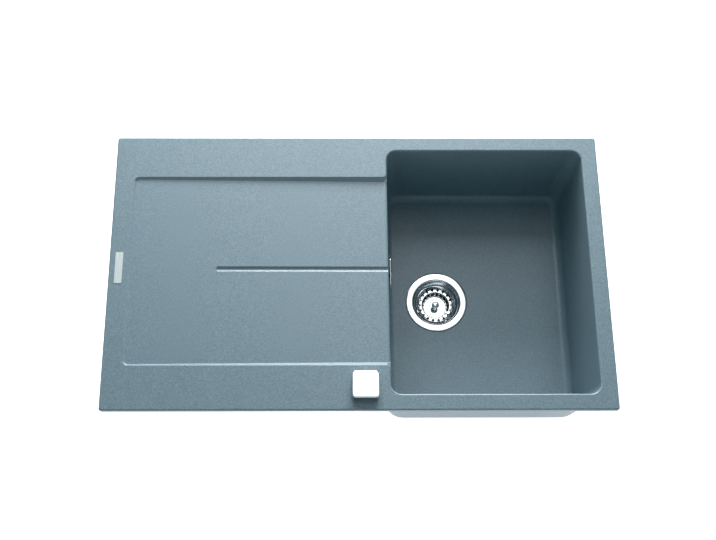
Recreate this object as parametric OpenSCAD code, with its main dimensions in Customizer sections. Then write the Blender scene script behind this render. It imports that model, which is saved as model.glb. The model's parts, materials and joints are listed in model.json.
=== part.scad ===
// Inset kitchen sink in granite composite, with a drainer on the left, one bowl on the right, an
// overflow, and a basket strainer that a square knob on the deck lifts through a pull cable.
// Millimetres. The origin is the middle of the sink on the worktop that the rim rests on.
// +X points to the bowl, +Y to the back, +Z up.

/* [Rim] */
// Width of the rim
rim_w = 860; // [840:1:900]
// Depth of the rim, front to back
rim_d = 500; // [490:1:520]
// Height of the rim above the worktop
rim_t = 9; // [8:0.5:12]
// Radius of the rim's corners, seen from above
rim_corner_r = 5; // [4:0.5:20]
// Rounding of the rim's upper edge
rim_edge_r = 3; // [1:0.5:3.5]
// How far the rim lies on the worktop outside the cut-out
rim_overlap = 10; // [8:0.5:10]
// Height of the step under the deck that centres the sink in the cut-out
step_t = 1.5; // [1:0.25:3]
// Gap between that step and the cut-out
step_gap = 1; // [0.5:0.25:1]

/* [Bowl] */
// Width of the bowl's opening
bowl_w = 349; // [320:1:360]
// Depth of the bowl below the rim's top
bowl_depth = 190; // [170:1:210]
// Deck to the right of the bowl
bowl_right_margin = 28.5; // [27:0.5:40]
// Deck in front of the bowl
bowl_front_margin = 28; // [27:0.5:40]
// Deck behind the bowl
bowl_back_margin = 27; // [27:0.5:60]
// Corner radius of the bowl at its mouth
bowl_corner_r = 18; // [14:1:40]
// How far each wall leans in between the mouth and the floor
bowl_draft = 6; // [6:0.5:10]
// Rounding between the walls and the floor
bowl_floor_r = 14; // [8:1:20]
// Rounding of the bowl's mouth
bowl_mouth_r = 3; // [1:0.5:5]
// Thickness of the bowl's walls
bowl_wall = 8.5; // [7:0.5:8.5]
// Thickness of the bowl's floor
bowl_floor_t = 10; // [8:0.5:14]

/* [Drainer] */
// Deck to the left of the drainer
drainer_left_margin = 34; // [34:1:120]
// Deck in front of the drainer
drainer_front_margin = 76.5; // [76:0.5:90]
// Depth of the drainer, front to back
drainer_d = 345.5; // [300:0.5:350]
// Fall below the deck at the drainer's left end
drainer_fall_left = 3.5; // [3:0.5:5]
// Fall below the deck where the drainer meets the bowl
drainer_fall_right = 7; // [6:0.5:8]
// Corner radius of the drainer
drainer_corner_r = 9; // [7:0.5:20]
// Radius of the corners where the drainer opens into the bowl
drainer_flare_r = 6; // [3:0.5:10]
// Rounding where the drainer's floor rolls over into the bowl
drainer_roll_r = 4; // [2:0.5:6]
// Thickness of the floor under the drainer
drainer_floor_t = 8; // [6:0.5:12]
// Width of the groove in the drainer
groove_w = 10; // [6:0.5:14]
// Depth of the groove
groove_depth = 2.5; // [1:0.1:3]
// Distance of the groove's left end from the rim's left edge
groove_left_margin = 184; // [120:1:300]
// Distance of the groove's middle from the rim's front edge
groove_front_margin = 249.5; // [200:0.5:300]
// Height of the stiffening ribs under the drainer
rib_h = 8; // [4:0.5:12]
// Thickness of the stiffening ribs
rib_t = 5; // [3:0.5:8]

/* [Name plate] */
// Width of the plate
plate_w = 13; // [8:0.5:20]
// Length of the plate
plate_l = 57; // [30:1:80]
// Thickness of the plate
plate_t = 0.8; // [0.5:0.1:1.5]
// Corner radius of the plate
plate_corner_r = 1; // [0.5:0.1:3]
// Distance of the plate from the rim's left edge
plate_left_margin = 11; // [5:0.5:15]

/* [Waste] */
// Distance of the waste's middle from the bowl's left edge
waste_from_left = 100; // [95:1:180]
// Distance of the waste's and the overflow's middle from the rim's front edge
waste_front_margin = 249.5; // [220:0.5:280]
// Radius of the waste flange
flange_r = 57.5; // [54:0.5:60]
// Radius of the flange's inner edge
flange_in_r = 43.5; // [42:0.25:44]
// Radius of the strainer's well below the flange
well_r = 38; // [37.5:0.25:39]
// Depth of the seat in the well, below the flange
seat_depth = 38; // [37.5:0.5:44]
// Thickness of the pressed steel
sheet_t = 1; // [0.6:0.1:1.2]
// Thickness of the gasket between the flange and the bowl's floor
flange_gasket_t = 1.5; // [1:0.25:2]
// Thickness of the gasket under the bowl's floor
body_gasket_t = 3; // [2:0.5:4]
// Outer radius of the outlet's thread, one and a half inch pipe
outlet_r = 23.9; // [22:0.1:26]
// Length of the outlet's thread
outlet_l = 18; // [12:1:24]
// Bore radius of the outlet
outlet_bore_r = 20; // [16:0.5:20]
// Wall of the moulded waste body
body_wall = 4; // [3:0.5:5]

/* [Strainer basket] */
// Gap between the basket's lip and the well
basket_gap = 0.8; // [0.5:0.1:2]
// Thickness of the basket's steel
basket_t = 0.8; // [0.5:0.1:1]
// Number of holes around the basket, in each of its two rows
basket_holes = 18; // [12:1:20]
// Radius of the round holes that scallop the basket's step
basket_hole_r = 2.7; // [1.5:0.1:2.8]
// Width of the slots around the basket's lower wall
basket_slot_w = 5.4; // [3:0.1:5.6]
// Radius of the basket's flat floor
basket_floor_r = 20.7; // [18:0.1:21]
// Radius of the basket's knob
basket_knob_r = 7; // [5:0.25:9]
// Height of the basket's knob above the basket's floor
basket_knob_h = 18; // [14:0.5:24]
// Height to which a hand lifts the basket out of the sink
basket_travel = 260; // [240:5:320]

/* [Lift] */
// Rise of the lift pin when the knob is turned
lift_h = 8; // [5:0.5:8]
// Radius of the lift pin
pin_r = 3; // [2.5:0.25:3.5]
// Distance between the lever's axle and the lift pin
finger_l = 18; // [16:0.5:20]
// Radius of the lever's axle
axle_r = 3; // [2.5:0.25:3.5]
// Length of the crank that the cable pulls
crank_l = 20; // [14:0.5:20]

/* [Overflow] */
// Distance of the overflow's middle below the rim's top
overflow_drop = 36; // [34:0.5:50]
// Width of the cover plate
cover_w = 54; // [44:1:70]
// Height of the cover plate
cover_h = 24; // [20:1:26]
// Thickness of the cover plate
cover_t = 1.25; // [1:0.25:2]
// Corner radius of the cover plate
cover_corner_r = 4; // [1:0.5:8]
// Gap between the cover plate and the bowl's wall
cover_gap = 2.5; // [2:0.25:5]
// Radius of the hole through the bowl's wall
overflow_hole_r = 12; // [10:0.5:13]
// Outer radius of the overflow pipe
pipe_r = 10; // [9:0.25:11]
// Wall of the overflow pipe
pipe_wall = 1.5; // [1:0.25:2]
// Bend radius of the overflow pipe
pipe_bend_r = 30; // [24:1:34]

/* [Control] */
// Side of the square control knob
knob_w = 45; // [40:0.5:50]
// Height of the knob's top above the deck
knob_h = 20; // [16:0.5:30]
// Corner radius of the knob, seen from above
knob_corner_r = 6.5; // [4:0.5:12]
// Rounding of the knob's upper edge
knob_edge_r = 1.6; // [0.5:0.1:3]
// Distance of the knob's middle from the bowl's left edge
knob_from_bowl = 42.5; // [38:0.5:60]
// Distance of the knob's middle from the rim's front edge
knob_front_margin = 40; // [38:0.5:60]
// Radius of the hole for the control and the taps
deck_hole_r = 17.5; // [17:0.25:18]
// Outer radius of the housing under the deck
housing_r = 24; // [22:0.5:25]
// Height of the housing
housing_h = 32; // [28:0.5:40]
// Radius of the control spindle
spindle_r = 6; // [5:0.25:8]
// Radius of the cable drum
drum_r = 14; // [10:0.5:15]

/* [Tap holes] */
// Distance of the second blind hole to the left of the first
pilot_spacing = 120; // [60:5:200]
// Depth of the blind holes under the back of the deck
pilot_depth = 5; // [3:0.5:6]

/* [Fixing clips] */
// Radius of the boss that holds each clip screw
clip_boss_r = 5; // [4.4:0.1:5]
// Height of that boss below the step
clip_boss_h = 12; // [8:1:16]
// Radius of the clip screws
clip_screw_r = 2; // [1.5:0.25:2.5]
// Depth of the clip's claw below the worktop's top
clip_drop = 52; // [50:0.5:60]
// Reach of the claw from its screw to its tip
claw_l = 30; // [24:1:34]
// Width of the claw
claw_w = 6.6; // [5:0.2:6.6]
// Thickness of the claw's steel
claw_t = 2; // [1.5:0.25:3]
// Height of the claw's upturned tip
claw_tip_h = 12; // [8:1:16]

/* [Fits] */
// Radial running clearance of shafts and pins
run_gap = 0.05; // [0.02:0.01:0.09]
// Gap between parts that rest on each other and move apart
rest_gap = 0.3; // [0.2:0.05:0.5]
// Radial clearance of threaded rings and loose rings
loose_gap = 0.15; // [0.1:0.05:0.3]

/* [Hidden] */

// Colours of the finishes
granite = "#6f838e";
chrome = "#e6e9ea";
steel = "#b9bec1";
brass = "#b79a56";
rubber = "#26282a";
black_plastic = "#2f3235";
grey_plastic = "#d9dad8";

// Small distance by which cutters run past a surface
eps = 1;
// Steps in a quarter turn of the lofted corners, and in a rounded edge
corner_steps = 6;
edge_steps = 4;

// Places of the bowl
bowl_right = rim_w / 2 - bowl_right_margin;
bowl_left = bowl_right - bowl_w;
bowl_x = bowl_left + bowl_w / 2;
bowl_d = rim_d - bowl_front_margin - bowl_back_margin;
bowl_y = -rim_d / 2 + bowl_front_margin + bowl_d / 2;
bowl_floor_z = rim_t - bowl_depth;
bowl_under_z = bowl_floor_z - bowl_floor_t;
// Height of the straight part of the bowl's walls, between its two roundings
wall_h = bowl_depth - bowl_mouth_r - bowl_floor_r;
// How far the bowl's wall has leaned in at height z
function wall_inset(z) = bowl_draft * (rim_t - bowl_mouth_r - z) / wall_h;
// Corner radius at the foot of the walls, larger so that the floor's rounding turns smoothly
foot_corner_r = bowl_corner_r + 6;
pad_t = 1;

// Places of the drainer
drainer_left = -rim_w / 2 + drainer_left_margin;
drainer_front = -rim_d / 2 + drainer_front_margin;
drainer_back = drainer_front + drainer_d;
drainer_y = (drainer_front + drainer_back) / 2;
drainer_slope = (drainer_fall_right - drainer_fall_left) / (bowl_left - drainer_left);
// Height of the drainer's floor at x
function drainer_z(x) = rim_t - drainer_fall_left - (x - drainer_left) * drainer_slope;
drainer_under_z = rim_t - drainer_fall_right - drainer_floor_t;
groove_left = -rim_w / 2 + groove_left_margin;
groove_y = -rim_d / 2 + groove_front_margin;
// Radius of the ball that presses a groove of this width and depth
groove_r = (groove_w * groove_w / 4 + groove_depth * groove_depth) / (2 * groove_depth);

// Places of the cut-out and the clips
cut_w = rim_w - 2 * rim_overlap;
cut_d = rim_d - 2 * rim_overlap;
// The clips' bosses stay this far inside the step's edge
clip_margin = 0.2;
clip_inset = step_gap + clip_boss_r + clip_margin;
clip_x = cut_w / 2 - clip_inset;
clip_y = cut_d / 2 - clip_inset;
clip_from_drainer = 175;
clip_left_x = drainer_left + clip_from_drainer;
clip_insert_t = 1.4;
clip_insert_h = clip_boss_h - 2;
// Each clip's place and the direction its claw takes at rest, along the rim
clips = [
    [clip_left_x, -clip_y, 180],
    [bowl_x, -clip_y, 180],
    [clip_left_x, clip_y, 0],
    [bowl_x, clip_y, 0],
    [-clip_x, 0, 90],
    [clip_x, 0, -90]
];

// Places of the waste. Depths in its parts count from the flange's top
waste_x = bowl_left + waste_from_left;
waste_y = -rim_d / 2 + waste_front_margin;
flange_z = bowl_floor_z;
recess_depth = sheet_t + flange_gasket_t;
recess_gap = 1;
recess_r = flange_r + recess_gap;
waste_hole_gap = 0.5;
waste_hole_r = flange_in_r + sheet_t + waste_hole_gap;
flange_roll_r = 3;
flange_dome_r = flange_r - 3;
// Well of the waste flange
well_top = -10.4;
throat_r = 24.5;
throat_h = 5;
throat_floor = -seat_depth - throat_h;
throat_slots = 6;
throat_slot_gap = 18;
// Hollow bolt and the post that it screws into
bolt_r = 6;
bolt_l = 12;
bolt_head_r = 11;
bolt_head_t = 2.5;
bolt_bore_r = pin_r + run_gap;
post_r = 9;
post_h = 13;
post_top = throat_floor - sheet_t;
post_bottom = post_top - post_h;
web_t = 3;
// Lift pin
pin_top = throat_floor + bolt_head_t + rest_gap;
pin_foot_t = 2;
pin_foot_r = 5;
pin_foot_gap = 0.5;
pin_bottom = post_bottom - lift_h - pin_foot_t - pin_foot_gap;
// Basket
basket_r = well_r - basket_gap;
basket_foot_h = 6;
basket_floor_z = -seat_depth + basket_foot_h;
basket_lip_z = well_top + 0.5;
basket_step_z = basket_floor_z + 14;
basket_under_z = basket_floor_z - basket_t;
stem_bottom = pin_top + rest_gap;
stem_r = 6;
stem_neck_r = 4;
stem_flange_r = 12;
stem_flange_t = 1.6;
seal_t = 2.6;
seal_bottom = -seat_depth + rest_gap;
spigot_r = 2.5;
spigot_l = 5;
// Waste body
body_top = -bowl_floor_t - body_gasket_t;
body_flange_r = flange_r + 0.5;
body_flange_t = 5;
body_in_r = flange_in_r + 3.5;
body_out_r = body_in_r + body_wall;
funnel_top = throat_floor - 6;
funnel_h = 26;
funnel_bottom = funnel_top - funnel_h;
body_bottom = funnel_bottom - 1;
outlet_neck_h = 5;
outlet_neck_r = outlet_bore_r + body_wall + 2;
outlet_top = body_bottom - outlet_neck_h;
outlet_bottom = outlet_top - outlet_l;
// Lever: the finger turns the same angle below and above level
roller_r = 3;
lever_swing = asin(lift_h / 2 / finger_l);
axle_y = finger_l;
axle_z = pin_bottom - rest_gap - roller_r + lift_h / 2;
axle_boss_x = 34;
axle_boss_r = 7;
axle_seal_t = 2;
axle_seal_r = axle_r + 2;
crank_gap = 3.5;
crank_x = axle_boss_x + crank_gap;
crank_hub_r = 5;
crank_t = 3;
crank_w = 7;
axle_overhang = 2;
// Lug and ferrule for the outer end of the pull cable
gland_r = 3;
gland_bore_r = 1.3;
lug_w = 9;
lug_t = 6;
lug_y = -26;

// Places of the overflow and its pipe
overflow_z = rim_t - overflow_drop;
wall_face_x = bowl_left + wall_inset(overflow_z);
pad_x = bowl_left - bowl_wall - pad_t;
pad_r = 19;
ring_gasket_t = 2;
elbow_flange_r = 18;
elbow_flange_t = 3;
elbow_wall = 3;
elbow_r = overflow_hole_r + elbow_wall;
elbow_l = 31.5;
elbow_post_r = 5;
elbow_face_x = pad_x - ring_gasket_t;
elbow_back_x = elbow_face_x - elbow_l;
pipe_x = elbow_face_x - elbow_l / 2;
socket_l = 12;
socket_r = pipe_r + 4;
elbow_drop = 36;
elbow_socket_z = overflow_z - elbow_drop;
pipe_end_gap = 1;
cover_x = wall_face_x + cover_gap;
cover_screw_r = 2;
cover_screw_l = 24;
pipe_nut_r = socket_r + 4;
pipe_nut_h = 12;
pipe_nut_end_t = 3;
pipe_nut_ribs = 12;
pipe_seal_h = 3;
port_depth = (body_top + funnel_top) / 2;
port_z = flange_z + port_depth;
port_stub = 21;
port_l = body_out_r + port_stub;
port_x = waste_x - port_l;
pipe_bore_r = pipe_r - pipe_wall;

// Places of the control
knob_x = bowl_left - knob_from_bowl;
knob_y = -rim_d / 2 + knob_front_margin;
control_gasket_t = 2;
neck_gap = 0.7;
neck_r = deck_hole_r - neck_gap;
housing_top = -step_t - control_gasket_t;
housing_bottom = housing_top - housing_h;
housing_wall = 3;
housing_floor_t = 5.5;
ring_nut_r = 21;
ring_nut_h = 4;
ring_lip_t = 1;
lid_t = 2.5;
drum_h = 14;
drum_headroom = 5;
drum_top = housing_top - housing_floor_t - drum_headroom;
drum_bottom = drum_top - drum_h;
drum_screw_r = 2;
drum_screw_l = 9;
knob_wall = 3;
knob_hub_r = 10;
spindle_top = rim_t + knob_h - knob_wall - 2;
knob_bottom = rim_t + ring_nut_h + rest_gap;
lid_screw_r = 1.4;
lid_screw_l = 7.5;
lid_screw_ring = housing_r - housing_wall;
lid_screw_count = 3;
drum_gland_x = drum_r;
drum_gland_z = drum_top - drum_h / 2;
gland_boss_l = 8;
gland_boss_wall = 2.5;

// Points of an arc around c, from angle a0 to a1
function arc(c, r, a0, a1, steps) =
    [for (i = [0:steps]) c + r * [cos(a0 + (a1 - a0) * i / steps), sin(a0 + (a1 - a0) * i / steps)]];

// Unit normal to the left of the way from p to q
function left_of(p, q) = [p[1] - q[1], q[0] - p[0]] / norm(q - p);

// The path p moved t to its left, with mitred corners
function beside(p, t) = [
    for (i = [0:len(p) - 1])
        let (
            n1 = left_of(p[max(i - 1, 0)], p[max(i - 1, 0) + 1]),
            n2 = left_of(p[min(i, len(p) - 2)], p[min(i, len(p) - 2) + 1])
        )
        p[i] + t * (n1 + n2) / (1 + n1 * n2)
];

// Outline of a sheet of thickness t to the left of path p
function sheet(p, t) = concat(p, [for (i = [len(p) - 1:-1:0]) beside(p, t)[i]]);

// Points of one level of a loft: a rounded rectangle w by d around [x, y], at height z
function level(w, d, r, x, y, z) = [
    for (q = [0:3], i = [0:corner_steps])
        let (
            a = 90 * (q + i / corner_steps),
            sx = (q == 0 || q == 3) ? 1 : -1,
            sy = (q < 2) ? 1 : -1
        )
        [x + sx * (w / 2 - r) + r * cos(a), y + sy * (d / 2 - r) + r * sin(a), z]
];

// Solid through levels that are listed from the lowest to the highest
module loft(levels) {
    n = len(levels[0]);
    m = len(levels);
    sides = [
        for (k = [0:m - 2], i = [0:n - 1])
            let (a = k * n + i, b = k * n + (i + 1) % n)
            each [[a, b + n, b], [a, a + n, b + n]]
    ];
    bottom = [for (i = [0:n - 1]) i];
    top = [for (i = [n - 1:-1:0]) (m - 1) * n + i];
    polyhedron(points = [for (l = levels) each l], faces = concat([bottom], sides, [top]));
}

// Flat rounded rectangle around the origin
module rounded_rectangle(w, d, r) {
    square([w - 2 * r, d], center = true);
    square([w, d - 2 * r], center = true);
    for (x = [-1, 1], y = [-1, 1]) {
        translate([x * (w / 2 - r), y * (d / 2 - r)]) circle(r = r, $fn = 48);
    }
}

// Round bar from the origin along +X
module bar_x(r, l) {
    rotate([0, 90, 0]) cylinder(r = r, h = l, $fn = 64);
}

// Round bar from the origin along +Y
module bar_y(r, l) {
    rotate([-90, 0, 0]) cylinder(r = r, h = l, $fn = 64);
}

// Ring that stands on z = 0
module ring(outer, inner, h) {
    difference() {
        cylinder(r = outer, h = h, $fn = 96);
        translate([0, 0, -eps]) cylinder(r = inner, h = h + 2 * eps, $fn = 96);
    }
}

// Places its children at the waste, with z counted from the flange's top
module at_waste() {
    translate([waste_x, waste_y, flange_z]) children();
}

// Places its children at the control knob's axis
module at_control() {
    translate([knob_x, knob_y, 0]) children();
}

// Slab of the rim, with its upper edge rounded
module rim_slab() {
    edge = arc([-rim_edge_r, rim_t - rim_edge_r], rim_edge_r, 0, 90, edge_steps);
    loft(concat(
        [level(rim_w, rim_d, rim_corner_r, 0, 0, 0)],
        [for (p = edge) level(rim_w + 2 * p[0], rim_d + 2 * p[0], rim_corner_r + p[0], 0, 0, p[1])]
    ));
}

// Level of the bowl's hollow, moved out by o on every side
function bowl_level(o, r, z) = level(bowl_w + 2 * o, bowl_d + 2 * o, r, bowl_x, bowl_y, z);

// Hollow of the bowl, with its rounded mouth, leaning walls and rounded foot
module bowl_hollow() {
    foot_c = [-bowl_draft - bowl_floor_r, bowl_floor_z + bowl_floor_r];
    foot = arc(foot_c, bowl_floor_r, -90, 0, edge_steps + 1);
    mouth = arc([bowl_mouth_r, rim_t - bowl_mouth_r], bowl_mouth_r, 180, 90, edge_steps);
    loft(concat(
        [for (p = foot) bowl_level(p[0], foot_corner_r + p[0] + bowl_draft, p[1])],
        [for (p = mouth) bowl_level(p[0], bowl_corner_r + p[0], p[1])],
        [bowl_level(bowl_mouth_r, bowl_corner_r + bowl_mouth_r, rim_t + eps)]
    ));
}

// Outside of the bowl under the deck
module bowl_shell() {
    outer_r = bowl_floor_r + bowl_wall;
    foot_c = [bowl_wall - bowl_draft - outer_r, bowl_under_z + outer_r];
    foot = arc(foot_c, outer_r, -90, 0, edge_steps + 1);
    foot_r = foot_corner_r + bowl_wall;
    loft(concat(
        [for (p = foot) bowl_level(p[0], foot_r + p[0] + bowl_draft - bowl_wall, p[1])],
        [bowl_level(bowl_wall, bowl_corner_r + bowl_wall, rim_t / 2)]
    ));
}

// Recess of the drainer: sloping sides all round, a floor that falls to the bowl and rolls over
module drainer_recess() {
    past_bowl = 20;
    tip_r = 1;
    end_x = bowl_left + bowl_draft;
    w = bowl_left + past_bowl - drainer_left;
    roll_z = drainer_z(bowl_left) - drainer_roll_r;
    roll_x = bowl_left + wall_inset(roll_z) - drainer_roll_r;
    side_h = 2 * drainer_fall_right;
    corner_h = drainer_corner_r - tip_r;
    x = drainer_left + w / 2;
    intersection() {
        loft([
            level(w - 2 * side_h, drainer_d - 2 * side_h, tip_r, x, drainer_y, rim_t - side_h),
            level(w - 2 * corner_h, drainer_d - 2 * corner_h, tip_r, x, drainer_y, rim_t - corner_h),
            level(w, drainer_d, drainer_corner_r, x, drainer_y, rim_t),
            level(w, drainer_d, drainer_corner_r, x, drainer_y, rim_t + eps)
        ]);
        translate([0, drainer_back + eps, 0]) rotate([90, 0, 0])
            linear_extrude(drainer_d + 2 * eps) polygon(concat(
                [[drainer_left - eps, drainer_z(drainer_left - eps)]],
                arc([roll_x, roll_z], drainer_roll_r, 90, 0, edge_steps + 1),
                [[end_x, roll_z], [end_x, rim_t + 2 * eps]],
                [[drainer_left - eps, rim_t + 2 * eps]]
            ));
    }
}

// Outward corner where the drainer's side meets the bowl, with the side's slope. side is 1 or -1
module drainer_flare(side) {
    y = side > 0 ? drainer_back : drainer_front;
    h = drainer_fall_right - 0.5;
    l = drainer_flare_r + bowl_mouth_r;
    x = bowl_left - l;
    difference() {
        translate([x, side > 0 ? y - h : y - drainer_flare_r, rim_t - h])
            cube([l + 2 * eps, drainer_flare_r + h, h + eps]);
        translate([x, y + side * drainer_flare_r, rim_t - h - eps])
            cylinder(r1 = drainer_flare_r + h + eps, r2 = drainer_flare_r - eps, h = h + 3 * eps,
                $fn = 64);
    }
}

// Groove along the drainer, as a ball end pressed into the sloping floor and drawn to the bowl
module drainer_groove() {
    fall = atan(drainer_slope);
    start_x = groove_left + groove_w / 2;
    translate([start_x, groove_y, drainer_z(start_x) + groove_r - groove_depth]) rotate([0, fall, 0]) {
        sphere(r = groove_r, $fn = 64);
        bar_x(groove_r, bowl_left + bowl_draft - start_x);
    }
}

// Ribs under the drainer
module underside_ribs() {
    margin = 4;
    elbow_room = 29;
    left = drainer_left + margin;
    right = elbow_back_x - elbow_room;
    front = drainer_front + margin;
    back = drainer_back - margin;
    for (i = [-1:1]) {
        translate([left, drainer_y + i * drainer_d / 3 - rib_t / 2, drainer_under_z - rib_h])
            cube([right - left, rib_t, rib_h + eps]);
    }
    for (i = [0:3]) {
        translate([left + i * (right - left - rib_t) / 3, front, drainer_under_z - rib_h])
            cube([rib_t, back - front, rib_h + eps]);
    }
}

// The casting: deck, drainer, bowl, bosses and ribs in one piece
module sink_body() {
    step_corner_r = rim_corner_r + 3;
    insert_r = clip_screw_r + clip_insert_t;
    color(granite) difference() {
        union() {
            rim_slab();
            translate([0, 0, -step_t]) linear_extrude(step_t + eps)
                rounded_rectangle(cut_w - 2 * step_gap, cut_d - 2 * step_gap, step_corner_r);
            translate([(drainer_left + bowl_left) / 2, drainer_y, drainer_under_z])
                linear_extrude(rim_t / 2 - drainer_under_z)
                    rounded_rectangle(bowl_left - drainer_left + 2 * drainer_floor_t,
                        drainer_d + 2 * drainer_floor_t, drainer_corner_r + drainer_floor_t);
            bowl_shell();
            underside_ribs();
            translate([pad_x, waste_y, overflow_z]) bar_x(pad_r, pad_t + bowl_wall / 2);
            for (c = clips) {
                translate([c[0], c[1], -step_t - clip_boss_h])
                    cylinder(r = clip_boss_r, h = clip_boss_h + step_t + eps, $fn = 48);
            }
        }
        bowl_hollow();
        drainer_recess();
        drainer_flare(1);
        drainer_flare(-1);
        drainer_groove();
        at_waste() {
            translate([0, 0, -recess_depth]) cylinder(r = recess_r, h = recess_depth + eps, $fn = 96);
            translate([0, 0, -bowl_floor_t - eps])
                cylinder(r = waste_hole_r, h = bowl_floor_t + 2 * eps, $fn = 96);
        }
        translate([pad_x - eps, waste_y, overflow_z])
            bar_x(overflow_hole_r, pad_t + bowl_wall + bowl_draft);
        at_control() translate([0, 0, -step_t - eps])
            cylinder(r = deck_hole_r, h = rim_t + step_t + 2 * eps, $fn = 96);
        for (x = [knob_x, knob_x - pilot_spacing]) {
            translate([x, -knob_y, -step_t - eps])
                cylinder(r = deck_hole_r, h = pilot_depth + eps, $fn = 96);
        }
        for (c = clips) {
            translate([c[0], c[1], -step_t - clip_boss_h - eps])
                cylinder(r = insert_r, h = clip_insert_h + eps, $fn = 48);
        }
    }
}

// Bare metal plate that lies on the left of the deck
module name_plate() {
    color(steel) translate([-rim_w / 2 + plate_left_margin + plate_w / 2, 0, rim_t])
        linear_extrude(plate_t) rounded_rectangle(plate_w, plate_l, plate_corner_r);
}

// Plate in front of the overflow hole, which lets water in round its edges
module overflow_cover() {
    color(chrome) translate([cover_x, waste_y, overflow_z]) rotate([90, 0, 90]) difference() {
        linear_extrude(cover_t) rounded_rectangle(cover_w, cover_h, cover_corner_r);
        translate([0, 0, -eps])
            cylinder(r = cover_screw_r + loose_gap, h = cover_t + 2 * eps, $fn = 32);
    }
}

// Screw that draws the cover plate and the elbow together through the wall
module overflow_screw() {
    head_r = 4.5;
    head_t = 1.6;
    slot_w = 1.2;
    slot_l = 6;
    color(steel) translate([cover_x + cover_t, waste_y, overflow_z]) {
        difference() {
            rotate([0, 90, 0]) cylinder(r1 = head_r, r2 = head_r - 1, h = head_t, $fn = 48);
            translate([head_t - 1, -slot_l / 2, -slot_w / 2]) cube([1 + eps, slot_l, slot_w]);
        }
        translate([-cover_screw_l, 0, 0]) bar_x(cover_screw_r, cover_screw_l);
    }
}

// Gasket between the bowl's wall and the elbow
module overflow_gasket() {
    color(rubber) translate([elbow_face_x, waste_y, overflow_z]) rotate([0, 90, 0])
        ring(elbow_flange_r, overflow_hole_r + 1, ring_gasket_t);
}

// Moulded elbow that collects the overflow and turns it down into the pipe
module overflow_elbow() {
    bore = elbow_r - elbow_wall;
    color(black_plastic) translate([0, waste_y, 0]) {
        difference() {
            union() {
                translate([elbow_face_x - elbow_flange_t, 0, overflow_z])
                    bar_x(elbow_flange_r, elbow_flange_t);
                translate([elbow_back_x, 0, overflow_z]) bar_x(elbow_r, elbow_face_x - elbow_back_x);
                translate([pipe_x, 0, elbow_socket_z])
                    cylinder(r = socket_r, h = overflow_z - elbow_socket_z, $fn = 96);
            }
            translate([elbow_back_x + elbow_wall, 0, overflow_z])
                bar_x(bore, elbow_face_x - elbow_back_x);
            translate([pipe_x, 0, elbow_socket_z - eps])
                cylinder(r = pipe_bore_r, h = overflow_z - elbow_socket_z + eps, $fn = 96);
            translate([pipe_x, 0, elbow_socket_z - eps])
                cylinder(r = pipe_r + loose_gap, h = socket_l + eps, $fn = 96);
        }
        difference() {
            translate([elbow_back_x + elbow_wall / 2, 0, overflow_z])
                bar_x(elbow_post_r, cover_x - elbow_back_x - elbow_wall / 2);
            translate([cover_x + cover_t - cover_screw_l - eps, 0, overflow_z])
                bar_x(cover_screw_r + run_gap, cover_screw_l + eps);
        }
    }
}

// Seal of a pipe joint, from z = 0 down
module pipe_seal() {
    color(rubber) translate([0, 0, -pipe_seal_h])
        ring(socket_r - loose_gap, pipe_r + loose_gap, pipe_seal_h);
}

// Ribbed nut of a pipe joint, whose socket's end is at z = 0
module pipe_nut() {
    bottom = -pipe_seal_h - pipe_nut_end_t;
    wall_r = pipe_nut_r - 1;
    nut_rib_w = 2.4;
    color(grey_plastic) difference() {
        translate([0, 0, bottom]) {
            cylinder(r = wall_r, h = pipe_nut_h, $fn = 96);
            for (i = [0:pipe_nut_ribs - 1]) {
                rotate([0, 0, i * 360 / pipe_nut_ribs])
                    translate([wall_r - 1, -nut_rib_w / 2, 0])
                        cube([pipe_nut_r - wall_r + 1, nut_rib_w, pipe_nut_h]);
            }
        }
        translate([0, 0, bottom - eps]) cylinder(r = pipe_r + loose_gap, h = pipe_nut_h, $fn = 96);
        translate([0, 0, -pipe_seal_h])
            cylinder(r = socket_r + loose_gap, h = pipe_nut_h, $fn = 96);
    }
}

// Places its children at the end of the elbow's socket, pointing down the pipe
module at_upper_joint() {
    translate([pipe_x, waste_y, elbow_socket_z]) children();
}

// Places its children at the end of the waste body's port
module at_lower_joint() {
    translate([port_x, waste_y, port_z]) rotate([0, 90, 0]) children();
}

module upper_pipe_seal() {
    at_upper_joint() pipe_seal();
}

module upper_pipe_nut() {
    at_upper_joint() pipe_nut();
}

module lower_pipe_seal() {
    at_lower_joint() pipe_seal();
}

module lower_pipe_nut() {
    at_lower_joint() pipe_nut();
}

// Pipe from the elbow down beside the bowl and across to the waste body
module overflow_pipe() {
    top_z = elbow_socket_z + socket_l - pipe_end_gap;
    bend_z = port_z + pipe_bend_r;
    bend_x = pipe_x + pipe_bend_r;
    end_x = port_x + socket_l - pipe_end_gap;
    color(grey_plastic) translate([0, waste_y, 0]) {
        translate([pipe_x, 0, bend_z]) ring(pipe_r, pipe_bore_r, top_z - bend_z);
        translate([bend_x, 0, bend_z]) rotate([90, 0, 0]) rotate([0, 0, 180])
            rotate_extrude(angle = 90, $fn = 96) translate([pipe_bend_r, 0]) difference() {
                circle(r = pipe_r, $fn = 64);
                circle(r = pipe_bore_r, $fn = 64);
            }
        translate([bend_x, 0, port_z]) rotate([0, 90, 0]) ring(pipe_r, pipe_bore_r, end_x - bend_x);
    }
}

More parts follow.
